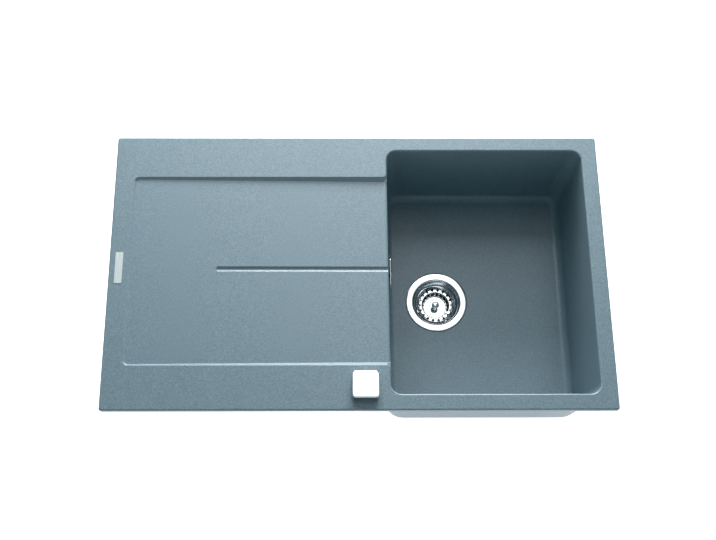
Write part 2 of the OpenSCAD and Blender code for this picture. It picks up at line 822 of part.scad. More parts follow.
// Pressed steel flange with the strainer's well, its seat and the perforated floor
module waste_flange() {
    path = concat(
        [[flange_r, -1.4], [flange_r - 0.9, -0.4], [flange_dome_r, 0]],
        arc([flange_in_r + flange_roll_r, -flange_roll_r], flange_roll_r, 90, 180, edge_steps),
        [[flange_in_r - 0.9, -6], [flange_in_r - 2.9, well_top + 1.6], [well_r + 0.4, well_top + 0.2]],
        [[well_r, well_top - 1.6], [well_r - 0.4, -seat_depth + 2], [well_r - 2.4, -seat_depth]],
        [[throat_r, -seat_depth], [throat_r - 1, -seat_depth - 1], [throat_r - 2, throat_floor]],
        [[bolt_r + 0.5, throat_floor]]
    );
    slot_in = bolt_head_r + 1.5;
    slot_out = throat_r - 3.5;
    color(chrome) at_waste() difference() {
        rotate_extrude($fn = 128) polygon(sheet(path, sheet_t));
        for (i = [0:throat_slots - 1]) {
            rotate([0, 0, i * 360 / throat_slots]) translate([0, 0, throat_floor - 2 * eps])
                rotate_extrude(angle = 360 / throat_slots - throat_slot_gap, $fn = 96)
                    translate([slot_in, 0]) square([slot_out - slot_in, 4 * eps]);
        }
    }
}

module flange_gasket() {
    color(rubber) at_waste() translate([0, 0, -recess_depth])
        ring(flange_dome_r - loose_gap, flange_in_r + flange_roll_r + loose_gap, flange_gasket_t);
}

module body_gasket() {
    color(rubber) at_waste() translate([0, 0, body_top])
        ring(body_flange_r - 1, body_in_r, body_gasket_t);
}

// Revolved wall of the waste body: clamping flange, chamber and funnel
module body_shell() {
    rotate_extrude($fn = 128) polygon([
        [body_in_r, body_top],
        [body_flange_r, body_top],
        [body_flange_r, body_top - body_flange_t],
        [body_out_r, body_top - body_flange_t - 2],
        [body_out_r, funnel_top - 1],
        [outlet_neck_r, body_bottom],
        [outlet_bore_r, body_bottom],
        [outlet_bore_r, funnel_bottom],
        [body_in_r, funnel_top]
    ]);
}

// Crossed webs that carry the threaded post in the middle of the waste body
module post_webs() {
    reach = body_in_r + 1;
    web_top = post_top - 2.5;
    intersection() {
        rotate_extrude($fn = 96) polygon([
            [post_r - 1, post_bottom],
            [reach - 8, post_bottom],
            [reach, funnel_top],
            [reach, web_top],
            [post_r - 1, web_top]
        ]);
        for (a = [45, 135]) {
            rotate([0, 0, a]) translate([-reach, -web_t / 2, post_bottom])
                cube([2 * reach, web_t, post_h]);
        }
    }
    translate([0, 0, post_bottom]) cylinder(r = post_r, h = post_h, $fn = 64);
}

// Hanging lug that holds the outer end of the pull cable beside the crank
module cable_lug() {
    top_z = funnel_top - 8;
    bottom_z = axle_z - crank_l - 2 * gland_r;
    translate([-crank_x - crank_t / 2 - lug_w / 2, lug_y, bottom_z])
        cube([lug_w, lug_t, top_z - bottom_z]);
}

// Moulded waste body under the bowl
module waste_body() {
    color(black_plastic) at_waste() difference() {
        union() {
            body_shell();
            difference() {
                union() {
                    translate([-port_l, 0, port_depth]) bar_x(socket_r, port_l);
                    translate([-axle_boss_x, axle_y, axle_z]) bar_x(axle_boss_r, 2 * axle_boss_x);
                    cable_lug();
                }
                rotate_extrude($fn = 128) polygon([
                    [0, body_top],
                    [body_in_r + 1, body_top],
                    [body_in_r + 1, funnel_top - 1],
                    [outlet_bore_r + 1, body_bottom],
                    [0, body_bottom]
                ]);
            }
            post_webs();
        }
        translate([0, 0, post_bottom - eps])
            cylinder(r = bolt_r + run_gap, h = post_h + 2 * eps, $fn = 64);
        translate([-port_l - eps, 0, port_depth]) bar_x(pipe_r + loose_gap, socket_l + eps);
        translate([-port_l, 0, port_depth]) bar_x(pipe_bore_r, port_l - body_in_r + body_wall);
        translate([-axle_boss_x - eps, axle_y, axle_z])
            bar_x(axle_r + run_gap, 2 * axle_boss_x + 2 * eps);
        for (x = [-axle_boss_x - eps, axle_boss_x - axle_seal_t]) {
            translate([x, axle_y, axle_z]) bar_x(axle_seal_r, axle_seal_t + eps);
        }
        translate([-crank_x - crank_t / 2, lug_y - eps, axle_z - crank_l])
            bar_y(gland_r + run_gap, lug_t + 2 * eps);
    }
}

// Threaded outlet under the funnel
module waste_outlet() {
    color(black_plastic) at_waste() rotate_extrude($fn = 128) polygon([
        [outlet_bore_r, body_bottom],
        [outlet_neck_r, body_bottom],
        [outlet_neck_r, outlet_top],
        [outlet_r, outlet_top],
        [outlet_r, outlet_bottom],
        [outlet_bore_r, outlet_bottom]
    ]);
}

// Hollow bolt that clamps the flange and the waste body together, and guides the lift pin
module clamp_bolt() {
    slot_w = 2.4;
    slot_h = 1;
    color(steel) at_waste() difference() {
        union() {
            translate([0, 0, throat_floor]) cylinder(r = bolt_head_r, h = bolt_head_t, $fn = 64);
            translate([0, 0, throat_floor - bolt_l]) cylinder(r = bolt_r, h = bolt_l + eps, $fn = 64);
        }
        translate([0, 0, throat_floor - bolt_l - eps])
            cylinder(r = bolt_bore_r, h = bolt_l + bolt_head_t + 2 * eps, $fn = 64);
        for (a = [0, 90]) {
            rotate([0, 0, a])
                translate([-bolt_head_r - eps, -slot_w / 2, throat_floor + bolt_head_t - slot_h])
                    cube([2 * bolt_head_r + 2 * eps, slot_w, slot_h + eps]);
        }
    }
}

// Rings that seal the lever's axle at both sides of the waste body
module axle_seals() {
    color(rubber) at_waste() {
        for (x = [-axle_boss_x, axle_boss_x - axle_seal_t]) {
            translate([x, axle_y, axle_z]) rotate([0, 90, 0])
                ring(axle_seal_r, axle_r + run_gap, axle_seal_t);
        }
    }
}

// Threaded ferrule with a hexagon, for the outer end of a pull cable, along +Y from its seat
module cable_ferrule(l) {
    hex_r = 5;
    hex_t = 4;
    nose_l = 5;
    color(brass) difference() {
        union() {
            bar_y(gland_r, l);
            translate([0, -hex_t, 0]) rotate([-90, 0, 0]) cylinder(r = hex_r, h = hex_t, $fn = 6);
            translate([0, -hex_t - nose_l, 0]) rotate([-90, 0, 0])
                cylinder(r1 = gland_r - 0.6, r2 = gland_r, h = nose_l, $fn = 32);
        }
        translate([0, -hex_t - nose_l - eps, 0])
            bar_y(gland_bore_r, hex_t + nose_l + l + 2 * eps);
    }
}

module waste_cable_gland() {
    at_waste() translate([-crank_x - crank_t / 2, lug_y, axle_z - crank_l])
        cable_ferrule(lug_t + 3);
}

module control_gasket() {
    color(rubber) at_control() translate([0, 0, housing_top])
        ring(housing_r - 1, deck_hole_r, control_gasket_t);
}

// Housing under the deck, with the neck that passes up through the deck
module control_housing() {
    neck_top = rim_t + ring_nut_h - ring_lip_t;
    cavity_r = housing_r - 2 * housing_wall;
    color(black_plastic) at_control() difference() {
        union() {
            translate([0, 0, housing_bottom]) cylinder(r = housing_r, h = housing_h, $fn = 96);
            translate([0, 0, housing_top - eps])
                cylinder(r = neck_r, h = neck_top - housing_top + eps, $fn = 96);
            translate([drum_gland_x, 0, drum_gland_z])
                bar_y(gland_r + gland_boss_wall, housing_r + gland_boss_l);
        }
        translate([0, 0, housing_bottom - eps])
            cylinder(r = cavity_r, h = housing_h - housing_floor_t + eps, $fn = 96);
        translate([0, 0, housing_bottom - eps])
            cylinder(r = spindle_r + run_gap, h = neck_top - housing_bottom + 2 * eps, $fn = 64);
        translate([drum_gland_x, housing_r, drum_gland_z])
            bar_y(gland_r + run_gap, gland_boss_l + eps);
        translate([drum_gland_x, 0, drum_gland_z]) bar_y(gland_bore_r + 0.5, housing_r + eps);
        for (i = [0:lid_screw_count - 1]) {
            rotate([0, 0, 30 + i * 360 / lid_screw_count])
                translate([lid_screw_ring, 0, housing_bottom - eps])
                    cylinder(r = lid_screw_r + run_gap, h = lid_screw_l + 2 * eps, $fn = 32);
        }
    }
}

// Chromed ring that screws on the neck from above and clamps the deck
module control_ring_nut() {
    edge = 1.2;
    color(chrome) at_control() translate([0, 0, rim_t]) difference() {
        rotate_extrude($fn = 96) polygon([
            [0, 0],
            [ring_nut_r, 0],
            [ring_nut_r, ring_nut_h - edge],
            [ring_nut_r - edge / 3, ring_nut_h - edge / 3],
            [ring_nut_r - edge, ring_nut_h],
            [0, ring_nut_h]
        ]);
        translate([0, 0, -eps])
            cylinder(r = neck_r + loose_gap, h = ring_nut_h - ring_lip_t + eps, $fn = 96);
        translate([0, 0, -eps])
            cylinder(r = spindle_r + 2 * rest_gap, h = ring_nut_h + 2 * eps, $fn = 64);
    }
}

module housing_lid() {
    color(black_plastic) at_control() translate([0, 0, housing_bottom - lid_t]) difference() {
        cylinder(r = housing_r, h = lid_t, $fn = 96);
        for (i = [0:lid_screw_count - 1]) {
            rotate([0, 0, 30 + i * 360 / lid_screw_count]) translate([lid_screw_ring, 0, -eps])
                cylinder(r = lid_screw_r + loose_gap, h = lid_t + 2 * eps, $fn = 32);
        }
    }
}

module lid_screws() {
    head_r = 2.7;
    head_t = 1.6;
    slot_w = 0.7;
    slot_l = 3.4;
    color(steel) at_control() for (i = [0:lid_screw_count - 1]) {
        rotate([0, 0, 30 + i * 360 / lid_screw_count])
            translate([lid_screw_ring, 0, housing_bottom - lid_t]) {
                cylinder(r = lid_screw_r, h = lid_t + lid_screw_l, $fn = 32);
                difference() {
                    translate([0, 0, -head_t])
                        cylinder(r1 = head_r - 0.7, r2 = head_r, h = head_t, $fn = 32);
                    for (a = [0, 90]) {
                        rotate([0, 0, a]) translate([-slot_l / 2, -slot_w / 2, -head_t - eps])
                            cube([slot_l, slot_w, slot_w + eps]);
                    }
                }
            }
    }
}

module control_cable_gland() {
    at_control() translate([drum_gland_x, housing_r + gland_boss_l, drum_gland_z])
        rotate([0, 0, 180]) cable_ferrule(gland_boss_l);
}

// Brass inserts in the bosses under the deck
module clip_inserts() {
    color(brass) for (c = clips) {
        translate([c[0], c[1], -step_t - clip_boss_h])
            ring(clip_screw_r + clip_insert_t, clip_screw_r + run_gap, clip_insert_h);
    }
}

// Long cross-slotted screws that draw the claws up under the worktop
module clip_screws() {
    top = -step_t - clip_boss_h + clip_insert_h - 2;
    under = -clip_drop - rest_gap;
    head_r = 3.6;
    head_t = 2.4;
    slot_w = 1.2;
    slot_l = 5;
    color(steel) for (c = clips) {
        translate([c[0], c[1], under]) {
            cylinder(r = clip_screw_r, h = top - under, $fn = 48);
            difference() {
                translate([0, 0, -head_t]) cylinder(r1 = head_r - 0.8, r2 = head_r, h = head_t, $fn = 48);
                for (a = [0, 90]) {
                    rotate([0, 0, a]) translate([-slot_l / 2, -slot_w / 2, -head_t - eps])
                        cube([slot_l, slot_w, slot_w + eps]);
                }
            }
        }
    }
}

// Bent claw on clip number i, folded in along the rim, with two teeth on its upturned tip
module clip_claw(i) {
    c = clips[i];
    tooth = claw_w / 4;
    tooth_h = 3;
    ridge_w = 1.6;
    ridge_h = 1.5;
    color(steel) translate([c[0], c[1], -clip_drop]) rotate([0, 0, c[2]]) difference() {
        union() {
            cylinder(r = claw_w / 2, h = claw_t, $fn = 48);
            translate([0, -claw_w / 2, 0]) cube([claw_l, claw_w, claw_t]);
            translate([claw_l - claw_t, 0, claw_t / 2]) rotate([90, 0, 90]) linear_extrude(claw_t)
                polygon([
                    [-claw_w / 2, 0],
                    [claw_w / 2, 0],
                    [claw_w / 2, claw_tip_h],
                    [tooth, claw_tip_h - tooth_h],
                    [0, claw_tip_h],
                    [-tooth, claw_tip_h - tooth_h],
                    [-claw_w / 2, claw_tip_h]
                ]);
            translate([claw_l / 4, -ridge_w / 2, claw_t / 2])
                cube([claw_l * 3 / 4 - claw_t / 2, ridge_w, claw_t / 2 + ridge_h]);
        }
        translate([0, 0, -eps]) cylinder(r = clip_screw_r + run_gap, h = claw_t + 2 * eps, $fn = 48);
    }
}

module clip_claw_front_left() {
    clip_claw(0);
}

module clip_claw_front_right() {
    clip_claw(1);
}

module clip_claw_back_left() {
    clip_claw(2);
}

module clip_claw_back_right() {
    clip_claw(3);
}

module clip_claw_left() {
    clip_claw(4);
}

module clip_claw_right() {
    clip_claw(5);
}

// Square knob: a chromed shell with a hub for the spindle
module knob_cap() {
    top = rim_t + knob_h;
    edge = arc([-knob_edge_r, top - knob_edge_r], knob_edge_r, 0, 90, edge_steps);
    cavity_h = knob_h - ring_nut_h - rest_gap - knob_wall;
    color(chrome) at_control() difference() {
        loft(concat(
            [level(knob_w, knob_w, knob_corner_r, 0, 0, knob_bottom)],
            [for (p = edge) level(knob_w + 2 * p[0], knob_w + 2 * p[0], knob_corner_r + p[0], 0, 0, p[1])]
        ));
        difference() {
            translate([0, 0, knob_bottom - eps]) linear_extrude(cavity_h + eps)
                rounded_rectangle(knob_w - 2 * knob_wall, knob_w - 2 * knob_wall, knob_corner_r / 2);
            translate([0, 0, knob_bottom]) cylinder(r = knob_hub_r, h = cavity_h + eps, $fn = 64);
        }
        translate([0, 0, knob_bottom - eps])
            cylinder(r = spindle_r + run_gap, h = spindle_top - knob_bottom + eps, $fn = 64);
    }
}

module control_spindle() {
    color(brass) at_control() difference() {
        translate([0, 0, drum_bottom]) cylinder(r = spindle_r, h = spindle_top - drum_bottom, $fn = 64);
        translate([0, 0, drum_bottom - eps])
            cylinder(r = drum_screw_r + run_gap, h = drum_screw_l + 2 * eps, $fn = 32);
    }
}

// Grooved drum on the spindle that takes up the cable
module cable_drum() {
    rim = 3;
    rim_r = drum_r + 2;
    groove_bottom_r = drum_r - 1;
    nipple_r = 1.8;
    color(grey_plastic) at_control() difference() {
        rotate_extrude($fn = 96) polygon([
            [spindle_r + run_gap, drum_bottom],
            [rim_r, drum_bottom],
            [rim_r, drum_bottom + rim],
            [groove_bottom_r, drum_bottom + rim + 2.5],
            [groove_bottom_r, drum_top - rim - 2.5],
            [rim_r, drum_top - rim],
            [rim_r, drum_top],
            [spindle_r + run_gap, drum_top]
        ]);
        translate([drum_r - 2, 0, drum_bottom - eps])
            cylinder(r = nipple_r, h = drum_h / 2 + eps, $fn = 32);
    }
}

// Hexagon screw and washer that hold the drum on the spindle
module drum_screw() {
    washer_r = 8;
    washer_t = 1;
    head_r = 3.6;
    head_t = 2;
    color(steel) at_control() translate([0, 0, drum_bottom]) {
        translate([0, 0, -washer_t]) cylinder(r = washer_r, h = washer_t, $fn = 48);
        translate([0, 0, -washer_t - head_t]) cylinder(r = head_r, h = head_t, $fn = 6);
        translate([0, 0, -washer_t]) cylinder(r = drum_screw_r, h = washer_t + drum_screw_l, $fn = 32);
    }
}

// Pin that slides in the clamp bolt and lifts the basket
module lift_pin() {
    color(steel) at_waste() rotate_extrude($fn = 64) polygon([
        [0, pin_bottom],
        [pin_foot_r, pin_bottom],
        [pin_foot_r, pin_bottom + pin_foot_t],
        [pin_r, pin_bottom + pin_foot_t],
        [pin_r, pin_top - 0.6],
        [pin_r - 0.6, pin_top],
        [0, pin_top]
    ]);
}

// Places its children on the lever's axle, at the angle that it has at rest
module at_axle() {
    at_waste() translate([0, axle_y, axle_z]) rotate([lever_swing, 0, 0]) children();
}

// Finger on the axle, with a round nose under the lift pin
module lift_finger() {
    hub_r = axle_r + 2.5;
    w = 7;
    arm_t = 3;
    color(grey_plastic) at_axle() difference() {
        union() {
            translate([-w / 2, 0, 0]) bar_x(hub_r, w);
            translate([-w / 2, -finger_l, -arm_t / 2]) cube([w, finger_l, arm_t]);
            translate([-w / 2, -finger_l, 0]) bar_x(roller_r, w);
        }
        translate([-w, 0, 0]) bar_x(axle_r + run_gap, 2 * w);
    }
}

module lever_axle() {
    color(steel) at_axle() translate([-crank_x - crank_t - axle_overhang, 0, 0])
        bar_x(axle_r, crank_x + crank_t + axle_boss_x + 2 * axle_overhang);
}

// Crank that hangs from the axle outside the waste body, with a hole for the cable's nipple
module lever_crank() {
    nipple_r = 1.6;
    color(steel) at_axle() rotate([-lever_swing, 0, 0]) translate([-crank_x - crank_t, 0, 0])
        difference() {
            union() {
                bar_x(crank_hub_r, crank_t);
                translate([0, -crank_w / 2, -crank_l]) cube([crank_t, crank_w, crank_l]);
                translate([0, 0, -crank_l]) bar_x(crank_w / 2, crank_t);
            }
            translate([-eps, 0, 0]) bar_x(axle_r + run_gap, crank_t + 2 * eps);
            translate([-eps, 0, -crank_l]) bar_x(nipple_r, crank_t + 2 * eps);
        }
}

// Path of the basket's inner face, from its turned-out lip to the hole in its floor
basket_path = [
    [basket_r, basket_lip_z],
    [basket_r - 0.8, basket_lip_z + 0.2],
    [basket_r - 1.5, basket_lip_z - 0.2],
    [basket_floor_r + 10.9, basket_step_z + 1],
    [basket_floor_r + 9.9, basket_step_z],
    [basket_floor_r + 5.9, basket_step_z],
    [basket_floor_r + 5.3, basket_step_z - 0.6],
    [basket_floor_r + 0.9, basket_floor_z + 0.8],
    [basket_floor_r, basket_floor_z],
    [basket_floor_r - 3.5, basket_floor_z],
    [basket_floor_r - 3.9, basket_floor_z + 0.4],
    [basket_floor_r - 4.3, basket_floor_z],
    [spigot_r + 0.1, basket_floor_z]
];

// Stepped strainer basket: round holes that bite into its step, and slots below the step
module basket() {
    hole_tilt = 30;
    slot_h = basket_step_z - basket_floor_z - 3;
    reach = 9;
    color(chrome) at_waste() difference() {
        rotate_extrude($fn = 128) polygon(sheet(basket_path, basket_t));
        for (i = [0:basket_holes - 1]) {
            rotate([0, 0, i * 360 / basket_holes]) {
                translate([basket_floor_r + 10.6, 0, basket_step_z + 0.7])
                    rotate([0, 90 + hole_tilt, 0]) translate([0, 0, -reach / 3])
                        cylinder(r = basket_hole_r, h = reach, $fn = 32);
                translate([basket_floor_r + 0.6, -basket_slot_w / 2, basket_floor_z + 1.6])
                    cube([7, basket_slot_w, slot_h]);
            }
        }
    }
}

// Knob in the middle of the basket, on a post whose spigot passes through the floor
module basket_knob() {
    top = basket_floor_z + basket_knob_h;
    color(chrome) at_waste() rotate_extrude($fn = 64) polygon([
        [0, basket_floor_z - spigot_l],
        [spigot_r, basket_floor_z - spigot_l],
        [spigot_r, basket_floor_z],
        [5.5, basket_floor_z],
        [5.2, basket_floor_z + 0.8],
        [3.2, basket_floor_z + 2.6],
        [3, top - 6.5],
        [basket_knob_r - 2, top - 5.4],
        [basket_knob_r - 0.4, top - 4.6],
        [basket_knob_r, top - 3.6],
        [basket_knob_r - 0.2, top - 2.4],
        [basket_knob_r - 1.4, top - 1],
        [basket_knob_r - 3.4, top - 0.2],
        [0, top]
    ]);
}

// Rubber seal between the basket's floor and its stem, which closes on the seat
module basket_seal() {
    top = basket_under_z;
    color(rubber) at_waste() rotate_extrude($fn = 96) polygon([
        [stem_neck_r + run_gap, top - seal_t],
        [basket_floor_r + 1, top - seal_t],
        [throat_r + 2.5, seal_bottom],
        [throat_r + 4.7, seal_bottom],
        [throat_r + 5.5, seal_bottom + 0.6],
        [throat_r + 5, seal_bottom + 2.4],
        [basket_floor_r + 1, top - 0.4],
        [basket_floor_r - 1, top],
        [stem_neck_r + run_gap, top]
    ]);
}

// Stem that is screwed on the knob's spigot from below, and rests on the lift pin
module basket_stem() {
    seal_under = basket_under_z - seal_t;
    spigot_end = basket_floor_z - spigot_l - run_gap;
    color(brass) at_waste() rotate_extrude($fn = 64) polygon([
        [spigot_r + run_gap, basket_under_z],
        [stem_neck_r, basket_under_z],
        [stem_neck_r, seal_under],
        [stem_flange_r, seal_under],
        [stem_flange_r, seal_under - stem_flange_t],
        [stem_r, seal_under - stem_flange_t - 0.4],
        [stem_r, stem_bottom],
        [0, stem_bottom],
        [0, spigot_end],
        [spigot_r + run_gap, spigot_end]
    ]);
}

sink_body();
name_plate();
overflow_cover();
overflow_screw();
overflow_gasket();
overflow_elbow();
upper_pipe_seal();
upper_pipe_nut();
overflow_pipe();
lower_pipe_seal();
lower_pipe_nut();
waste_flange();
flange_gasket();
body_gasket();
waste_body();
waste_outlet();
clamp_bolt();
axle_seals();
waste_cable_gland();
control_gasket();
control_housing();
control_ring_nut();
housing_lid();
lid_screws();
control_cable_gland();
clip_inserts();
clip_screws();
knob_cap();
control_spindle();
cable_drum();
drum_screw();
lift_pin();
lift_finger();
lever_axle();
lever_crank();
basket();
basket_knob();
basket_stem();
basket_seal();
clip_claw_front_left();
clip_claw_front_right();
clip_claw_back_left();
clip_claw_back_right();
clip_claw_left();
clip_claw_right();
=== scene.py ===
import json
import math

import bpy
from mathutils import Matrix, Vector

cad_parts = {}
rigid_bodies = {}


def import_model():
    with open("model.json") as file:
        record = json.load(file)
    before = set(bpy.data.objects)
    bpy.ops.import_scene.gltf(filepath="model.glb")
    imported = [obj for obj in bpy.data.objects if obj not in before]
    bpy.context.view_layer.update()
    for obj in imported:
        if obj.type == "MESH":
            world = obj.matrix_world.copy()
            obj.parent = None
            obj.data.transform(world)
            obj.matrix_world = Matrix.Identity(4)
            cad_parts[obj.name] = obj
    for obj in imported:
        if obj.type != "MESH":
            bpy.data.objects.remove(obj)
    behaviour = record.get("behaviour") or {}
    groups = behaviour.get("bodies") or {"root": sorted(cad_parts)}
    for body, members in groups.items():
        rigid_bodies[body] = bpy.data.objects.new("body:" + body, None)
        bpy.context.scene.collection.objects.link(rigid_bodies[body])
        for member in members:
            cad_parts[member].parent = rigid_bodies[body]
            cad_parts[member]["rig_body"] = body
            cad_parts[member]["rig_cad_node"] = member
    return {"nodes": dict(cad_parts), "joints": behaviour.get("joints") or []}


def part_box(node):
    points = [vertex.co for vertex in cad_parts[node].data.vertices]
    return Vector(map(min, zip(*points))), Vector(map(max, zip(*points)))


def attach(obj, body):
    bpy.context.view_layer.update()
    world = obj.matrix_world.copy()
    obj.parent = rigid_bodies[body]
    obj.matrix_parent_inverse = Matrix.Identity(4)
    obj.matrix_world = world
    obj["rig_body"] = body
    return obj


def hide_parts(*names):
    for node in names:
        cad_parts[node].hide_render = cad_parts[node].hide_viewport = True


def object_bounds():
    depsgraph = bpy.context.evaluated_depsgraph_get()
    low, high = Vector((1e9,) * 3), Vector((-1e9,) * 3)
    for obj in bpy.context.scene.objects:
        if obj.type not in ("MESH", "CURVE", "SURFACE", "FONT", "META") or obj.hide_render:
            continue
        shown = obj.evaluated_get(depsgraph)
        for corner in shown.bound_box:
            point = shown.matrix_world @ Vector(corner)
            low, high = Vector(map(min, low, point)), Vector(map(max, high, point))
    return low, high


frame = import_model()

cad_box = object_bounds()


# Camera. It looks down on the sink from the front at 70.5 degrees, turned 1.4 degrees to the right and
# rolled by 1.2 degrees, from 1.7 m above the worktop, as the outline in the photograph gives.
scene = bpy.context.scene
eye = Vector((-0.04808, -0.62236, 1.70604))
pitch, yaw, roll = math.radians(70.510), math.radians(-1.3514), math.radians(1.2295)
picture_w = 716.0
picture_h = 540.0
focal_px = 1048.85
middle_px = (338.66, 279.59)
ahead = Vector((0, math.cos(pitch), -math.sin(pitch)))
right = Vector((1, 0, 0))
turn = Matrix.Rotation(yaw, 3, "Z")
ahead, right = turn @ ahead, turn @ right
up = right.cross(ahead)
right, up = (
    math.cos(roll) * right + math.sin(roll) * up,
    -math.sin(roll) * right + math.cos(roll) * up,
)
camera_data = bpy.data.cameras.new("camera")
camera_data.sensor_width = 36.0
camera_data.lens = focal_px * camera_data.sensor_width / picture_w
camera_data.shift_x = (picture_w / 2 - middle_px[0]) / picture_w
camera_data.shift_y = (middle_px[1] - picture_h / 2) / picture_w
camera = bpy.data.objects.new("camera", camera_data)
scene.collection.objects.link(camera)
camera.matrix_world = Matrix.Translation(eye) @ Matrix((right, up, -ahead)).transposed().to_4x4()
scene.camera = camera
scene.view_settings.view_transform = "Standard"


# Studio. A white paper sweep that glows enough to stay white under the sink, two softboxes behind it
# that light the back of the deck and leave the bowl's back in shade, a white panel overhead for the
# bright metal to mirror, and a dim room that is white only near the floor.
def new_material(name):
    material = bpy.data.materials.new(name)
    material.use_nodes = True
    material.node_tree.nodes.clear()
    return material


def add_node(material, kind, settings=None, **links):
    """Adds one node. A link is socket=value or socket=(node, output); iN is the socket of index N."""
    node = material.node_tree.nodes.new(kind)
    for key, value in (settings or {}).items():
        setattr(node, key, value)
    for socket, value in links.items():
        target = node.inputs[int(socket[1:]) if socket[1:].isdigit() else socket.replace("_", " ")]
        if isinstance(value, tuple) and isinstance(value[0], bpy.types.Node):
            material.node_tree.links.new(value[0].outputs[value[1]], target)
        else:
            target.default_value = value
    return node


def colour(hex_value):
    """sRGB hex to the linear colour that the shaders use."""
    parts = [int(hex_value[i:i + 2], 16) / 255 for i in (1, 3, 5)]
    return tuple(c / 12.92 if c <= 0.04045 else ((c + 0.055) / 1.055) ** 2.4 for c in parts) + (1.0,)


def softbox(name, place, aim, size, power):
    lamp = bpy.data.lights.new(name, "AREA")
    lamp.shape = "RECTANGLE"
    lamp.size, lamp.size_y = size
    lamp.energy = power
    holder = bpy.data.objects.new(name, lamp)
    scene.collection.objects.link(holder)
    holder.location = place
    holder.rotation_euler = (Vector(aim) - Vector(place)).to_track_quat("-Z", "Y").to_euler()
    return holder


floor_r = 9.0
floor_gap = 0.012
floor_z = cad_box[0].z - floor_gap
bpy.ops.object.select_all(action="DESELECT")
bpy.ops.mesh.primitive_circle_add(vertices=96, radius=floor_r, fill_type="NGON", location=(0, 0, floor_z))
floor = bpy.context.object
floor.name = "studio_floor"
sweep = new_material("white paper sweep")
paper = add_node(sweep, "ShaderNodeBsdfPrincipled", Base_Color=colour("#f4f4f4"), Roughness=0.9,
                 Emission_Color=(1, 1, 1, 1), Emission_Strength=0.9)
add_node(sweep, "ShaderNodeOutputMaterial", Surface=(paper, "BSDF"))
floor.data.materials.append(sweep)

softbox("low_back_softbox", place=(0.2, 2.6, 1.0), aim=(0.0, 0.0, 0.0), size=(1.6, 1.0), power=121)
high_softbox = softbox("high_back_softbox", place=(0.0, 2.0, 2.2), aim=(0.0, 0.0, 0.0), size=(2.4, 1.6),
                       power=34.5)
high_softbox.data.color = colour("#f4f8ff")[:3]
softbox("overhead_panel", place=(0.32, 0.82, 3.0), aim=(0.1, 0.0, 0.0), size=(0.8, 0.95), power=4.4)
room = bpy.data.worlds.new("studio room")
room.use_nodes = True
room.node_tree.nodes.clear()
direction = add_node(room, "ShaderNodeTexCoord")
height = add_node(room, "ShaderNodeSeparateXYZ", Vector=(direction, "Generated"))
# White up to 12 degrees above the horizon, dark blue-grey from 20 degrees up. Z is the angle's sine.
wall_tones = add_node(room, "ShaderNodeMapRange", Value=(height, "Z"), From_Min=0.21, From_Max=0.34,
                      To_Min=1.0, To_Max=0.0)
wall_colour = add_node(room, "ShaderNodeMix", {"data_type": "RGBA"}, i0=(wall_tones, "Result"),
                       i6=colour("#6e7c83"), i7=colour("#ffffff"))
wall = add_node(room, "ShaderNodeBackground", Color=(wall_colour, 2))
add_node(room, "ShaderNodeOutputWorld", Surface=(wall, "Background"))
scene.world = room


# Sink body. One casting of granite composite, quartz sand in acrylic resin, cast face down in a
# mould and left as it comes: a dense matt stone with a fine grain and every edge slightly eased.
nodes = frame["nodes"]


def pick(piece):
    """Selects this piece alone and makes it the active one."""
    bpy.ops.object.select_all(action="DESELECT")
    piece.select_set(True)
    bpy.context.view_layer.objects.active = piece


def dressed_copy(node, name, sharp, bevel):
    """A merged, smoothly shaded copy of a CAD node. Edges over sharp degrees are eased by bevel metres."""
    merge_within = 2e-6
    flat_within = math.radians(0.3)
    piece = nodes[node].copy()
    piece.data = nodes[node].data.copy()
    piece.name = name
    piece.data.materials.clear()
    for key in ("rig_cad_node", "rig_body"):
        if key in piece:
            del piece[key]
    scene.collection.objects.link(piece)
    piece.parent = None
    pick(piece)
    bpy.ops.mesh.customdata_custom_splitnormals_clear()
    bpy.ops.object.mode_set(mode="EDIT")
    bpy.ops.mesh.select_all(action="SELECT")
    bpy.ops.mesh.remove_doubles(threshold=merge_within)
    bpy.ops.mesh.dissolve_limited(angle_limit=flat_within)
    bpy.ops.object.mode_set(mode="OBJECT")
    if bevel:
        easing = piece.modifiers.new("eased edges", "BEVEL")
        easing.width = bevel
        easing.segments = 2
        easing.limit_method = "ANGLE"
        easing.angle_limit = math.radians(sharp)
        easing.use_clamp_overlap = True
        bpy.ops.object.modifier_apply(modifier=easing.name)
    bpy.ops.object.shade_smooth_by_angle(angle=math.radians(sharp))
    # Large flat faces keep their own normals, and only the eased edges shade round
    levelling = piece.modifiers.new("flat faces", "WEIGHTED_NORMAL")
    levelling.keep_sharp = True
    levelling.weight = 100
    bpy.ops.object.modifier_apply(modifier=levelling.name)
    return piece


def dress(node, name, material, body, sharp=32.0, bevel=0.0):
    """Shows a dressed copy in that material in the CAD node's place, on the same body."""
    piece = dressed_copy(node, name, sharp, bevel)
    piece.data.materials.append(material)
    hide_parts(node)
    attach(piece, body)
    return piece


granite = new_material("granite composite, matt cast")
place = add_node(granite, "ShaderNodeTexCoord")
# Quartz grains of 0.6 to 1 mm, drawn at 1.6 mm so that they show
grains = add_node(granite, "ShaderNodeTexNoise", {"noise_dimensions": "3D"}, Vector=(place, "Object"),
                  Scale=620.0, Detail=3.0, Roughness=0.62)
grain_tones = add_node(granite, "ShaderNodeValToRGB", Fac=(grains, "Fac"))
grain_tones.color_ramp.elements[0].position = 0.34
grain_tones.color_ramp.elements[0].color = colour("#5a737e")
grain_tones.color_ramp.elements[1].position = 0.68
grain_tones.color_ramp.elements[1].color = colour("#829aa2")
